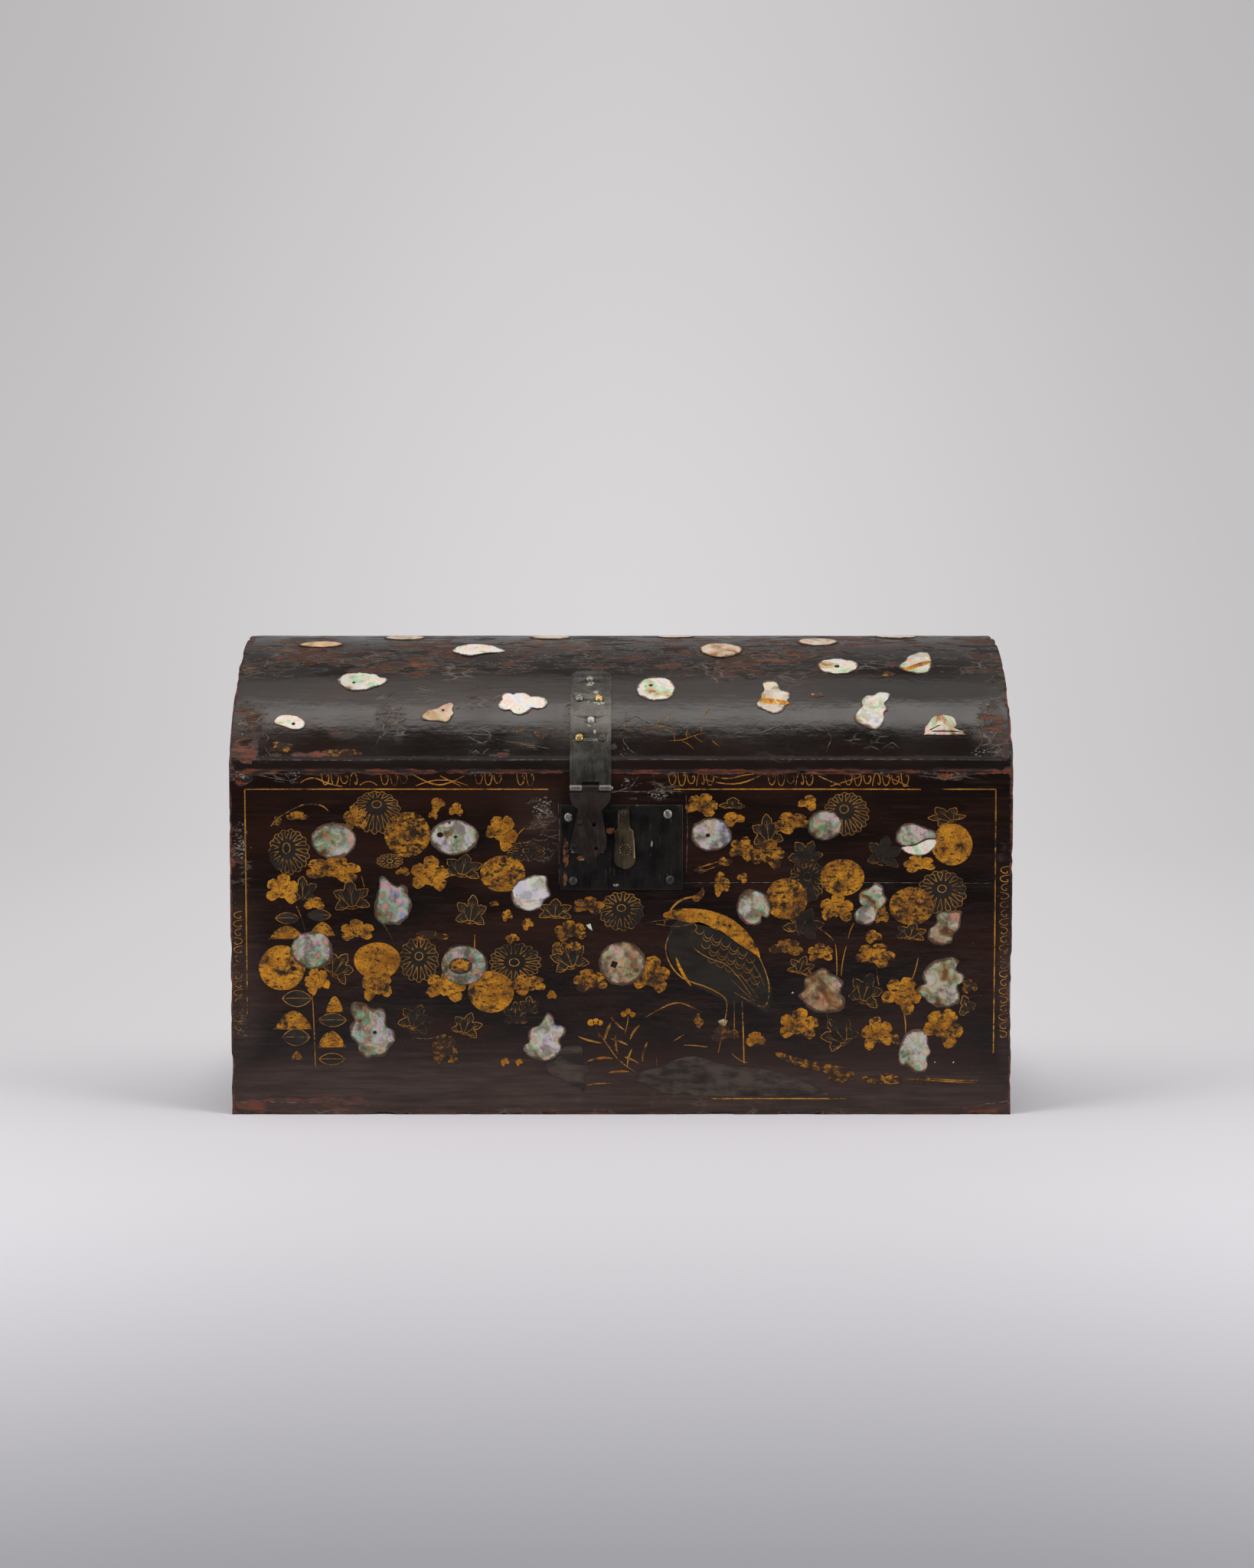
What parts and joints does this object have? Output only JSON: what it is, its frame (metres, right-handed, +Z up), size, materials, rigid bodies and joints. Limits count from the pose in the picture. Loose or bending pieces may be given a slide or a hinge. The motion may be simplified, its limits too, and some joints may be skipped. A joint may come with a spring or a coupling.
{
  "type": "lacquer coffer",
  "caption": "Domed-lid lacquered wooden coffer with strap hinges at the back, a hasp strap, a lock plate, a sliding bolt and a swinging keyhole cover.",
  "frame": {"origin": "centre of the underside of the bottom board, on the surface that the coffer stands on", "axes": "+X to the right along the length, -Y out of the front with the lock, +Z up"},
  "size_m": [0.45, 0.247, 0.2774],
  "materials": {
    "black_lacquer": "worn glossy black lacquer over wood, brown where it is rubbed",
    "bare_wood": "rubbed through lacquer, wood showing",
    "gold_lacquer": "sprinkled gold in lacquer, rubbed",
    "shell_inlay": "iridescent mother-of-pearl plates",
    "strap_iron": "rubbed grey iron with dark patina",
    "leaf_iron": "dark red-brown patina",
    "plate_iron": "nearly black patina with bright scratches",
    "steel": "worn screw steel",
    "brass": "aged brass, dull with bright edges"
  },
  "bodies": {
    "coffer": {"bottom_board": "black_lacquer", "front_board_lower": "black_lacquer", "front_board_upper": "black_lacquer", "back_board_lower": "black_lacquer", "back_board_upper": "black_lacquer", "left_end_board": "black_lacquer", "right_end_board": "black_lacquer", "lock_plate": "plate_iron", "lock_case": "plate_iron", "bolt_spring": "steel", "keyhole_cover_rivet": "plate_iron", "bolt_keeper_left": "plate_iron", "bolt_keeper_middle": "plate_iron", "bolt_keeper_right": "plate_iron", "lock_plate_screw_upper_left": "steel", "lock_plate_screw_upper_right": "steel", "lock_plate_screw_lower_left": "plate_iron", "lock_plate_screw_lower_right": "plate_iron", "body_leaf_screw_left_1": "steel", "body_leaf_screw_left_2": "steel", "body_leaf_screw_right_1": "steel", "body_leaf_screw_right_2": "steel", "back_hinge_body_leaf_left": "strap_iron", "back_hinge_body_leaf_right": "strap_iron", "back_hinge_pin_left": "steel", "back_hinge_pin_right": "steel"},
    "lid": {"lid_left_end": "black_lacquer", "lid_right_end": "black_lacquer", "lid_front_rim": "black_lacquer", "lid_back_rim": "black_lacquer", "lid_stave_1": "black_lacquer", "lid_stave_2": "black_lacquer", "lid_stave_3": "black_lacquer", "lid_stave_4": "black_lacquer", "lid_stave_5": "black_lacquer", "lid_stave_6": "black_lacquer", "hasp_strap": "strap_iron", "hasp_hinge_pin": "strap_iron", "strap_nail": "strap_iron", "strap_screw_upper_left": "steel", "strap_screw_upper_right": "brass", "strap_rivet": "strap_iron", "strap_screw_lower_left": "brass", "strap_screw_lower_right": "steel", "lid_leaf_screw_left_1": "steel", "lid_leaf_screw_left_2": "steel", "lid_leaf_screw_right_1": "steel", "lid_leaf_screw_right_2": "steel", "back_hinge_lid_leaf_left": "strap_iron", "back_hinge_lid_leaf_right": "strap_iron"},
    "hasp": {"hasp_leaf": "leaf_iron", "hasp_staple": "leaf_iron", "staple_rivet_1": "leaf_iron", "staple_rivet_2": "leaf_iron"},
    "cover": {"keyhole_cover": "brass"},
    "bolt": {"lock_bolt": "steel"}
  },
  "joints": [
    {"name": "lid_open", "type": "hinge", "parent": "coffer", "child": "lid", "pos_m": [0, 0.1158, 0.1984], "axis": [-1, 0, 0], "range_deg": [0, 105]},
    {"name": "hasp_swing", "type": "hinge", "parent": "lid", "child": "hasp", "pos_m": [-0.0176, -0.1158, 0.189], "axis": [-1, 0, 0], "range_deg": [-11, 160]},
    {"name": "cover_swing", "type": "hinge", "parent": "coffer", "child": "cover", "pos_m": [0.0013, -0.1145, 0.1746], "axis": [0, -1, 0], "range_deg": [-4, 65]},
    {"name": "bolt_throw", "type": "slide", "parent": "coffer", "child": "bolt", "axis": [-1, 0, 0], "range_m": [0, 0.007]}
  ]
}
